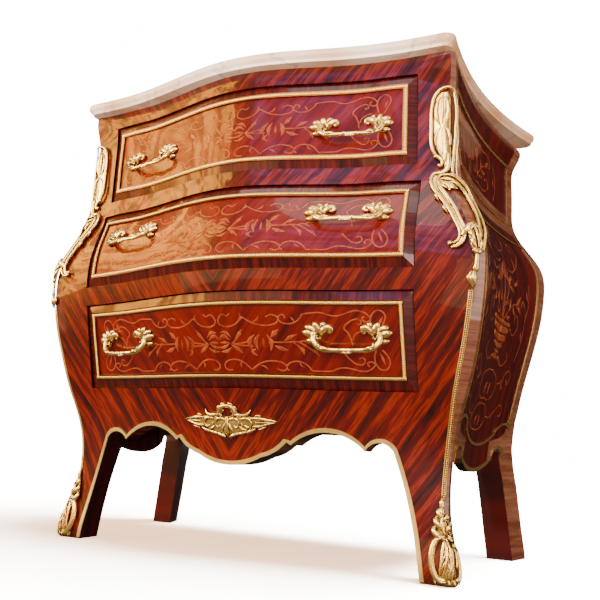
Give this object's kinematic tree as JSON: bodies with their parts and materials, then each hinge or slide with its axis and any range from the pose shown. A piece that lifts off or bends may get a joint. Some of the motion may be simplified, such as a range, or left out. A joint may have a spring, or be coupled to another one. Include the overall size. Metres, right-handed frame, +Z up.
{
  "type": "bombe chest of drawers",
  "caption": "Bombe chest of drawers with a bowed front, swelling sides, cabriole legs, stone top, marquetry drawers and gilt mounts.",
  "frame": {"origin": "on the floor, under the middle of the chest's width and depth", "axes": "+Z up, the drawers open towards -Y, +X to the right seen from the front"},
  "size_m": [0.9578, 0.5297, 0.88],
  "materials": {
    "veneer": "high-gloss lacquered striped veneer",
    "carcass_wood": "bare sawn wood",
    "drawer_lining": "planed pale wood",
    "gilt_brass": "polished gilt",
    "stone": "polished cream stone",
    "steel": "plain"
  },
  "bodies": {
    "carcass": {"apron_edging": "gilt_brass", "apron_mount": "gilt_brass", "apron_rail": "veneer", "back_panel": "carcass_wood", "back_rails": "carcass_wood", "bottom_board": "carcass_wood", "corner_beads": "gilt_brass", "drawer_guides": "carcass_wood", "drawer_runners": "carcass_wood", "drawer_stops": "carcass_wood", "frieze_rail": "veneer", "front_left_post": "veneer", "front_right_post": "veneer", "kickers": "carcass_wood", "left_chute": "gilt_brass", "left_sabot": "gilt_brass", "left_side_fillets": "gilt_brass", "left_side_panel": "veneer", "lower_drawer_rail": "veneer", "rear_left_post": "veneer", "rear_right_post": "veneer", "right_chute": "gilt_brass", "right_sabot": "gilt_brass", "right_side_fillets": "gilt_brass", "right_side_panel": "veneer", "stone_top": "stone", "sub_top": "carcass_wood", "upper_drawer_rail": "veneer"},
    "drawer_1": {"drawer_1_back": "drawer_lining", "drawer_1_bottom": "drawer_lining", "drawer_1_frame": "gilt_brass", "drawer_1_front": "veneer", "drawer_1_left_pull": "gilt_brass", "drawer_1_left_side": "drawer_lining", "drawer_1_pull_bolts": "steel", "drawer_1_right_pull": "gilt_brass", "drawer_1_right_side": "drawer_lining"},
    "drawer_2": {"drawer_2_back": "drawer_lining", "drawer_2_bottom": "drawer_lining", "drawer_2_frame": "gilt_brass", "drawer_2_front": "veneer", "drawer_2_left_pull": "gilt_brass", "drawer_2_left_side": "drawer_lining", "drawer_2_pull_bolts": "steel", "drawer_2_right_pull": "gilt_brass", "drawer_2_right_side": "drawer_lining"},
    "drawer_3": {"drawer_3_back": "drawer_lining", "drawer_3_bottom": "drawer_lining", "drawer_3_frame": "gilt_brass", "drawer_3_front": "veneer", "drawer_3_left_pull": "gilt_brass", "drawer_3_left_side": "drawer_lining", "drawer_3_pull_bolts": "steel", "drawer_3_right_pull": "gilt_brass", "drawer_3_right_side": "drawer_lining"}
  },
  "joints": [
    {"name": "drawer_1_slide", "type": "slide", "parent": "carcass", "child": "drawer_1", "axis": [0, -1, 0], "range_m": [0, 0.3]},
    {"name": "drawer_2_slide", "type": "slide", "parent": "carcass", "child": "drawer_2", "axis": [0, -1, 0], "range_m": [0, 0.3]},
    {"name": "drawer_3_slide", "type": "slide", "parent": "carcass", "child": "drawer_3", "axis": [0, -1, 0], "range_m": [0, 0.3]}
  ]
}
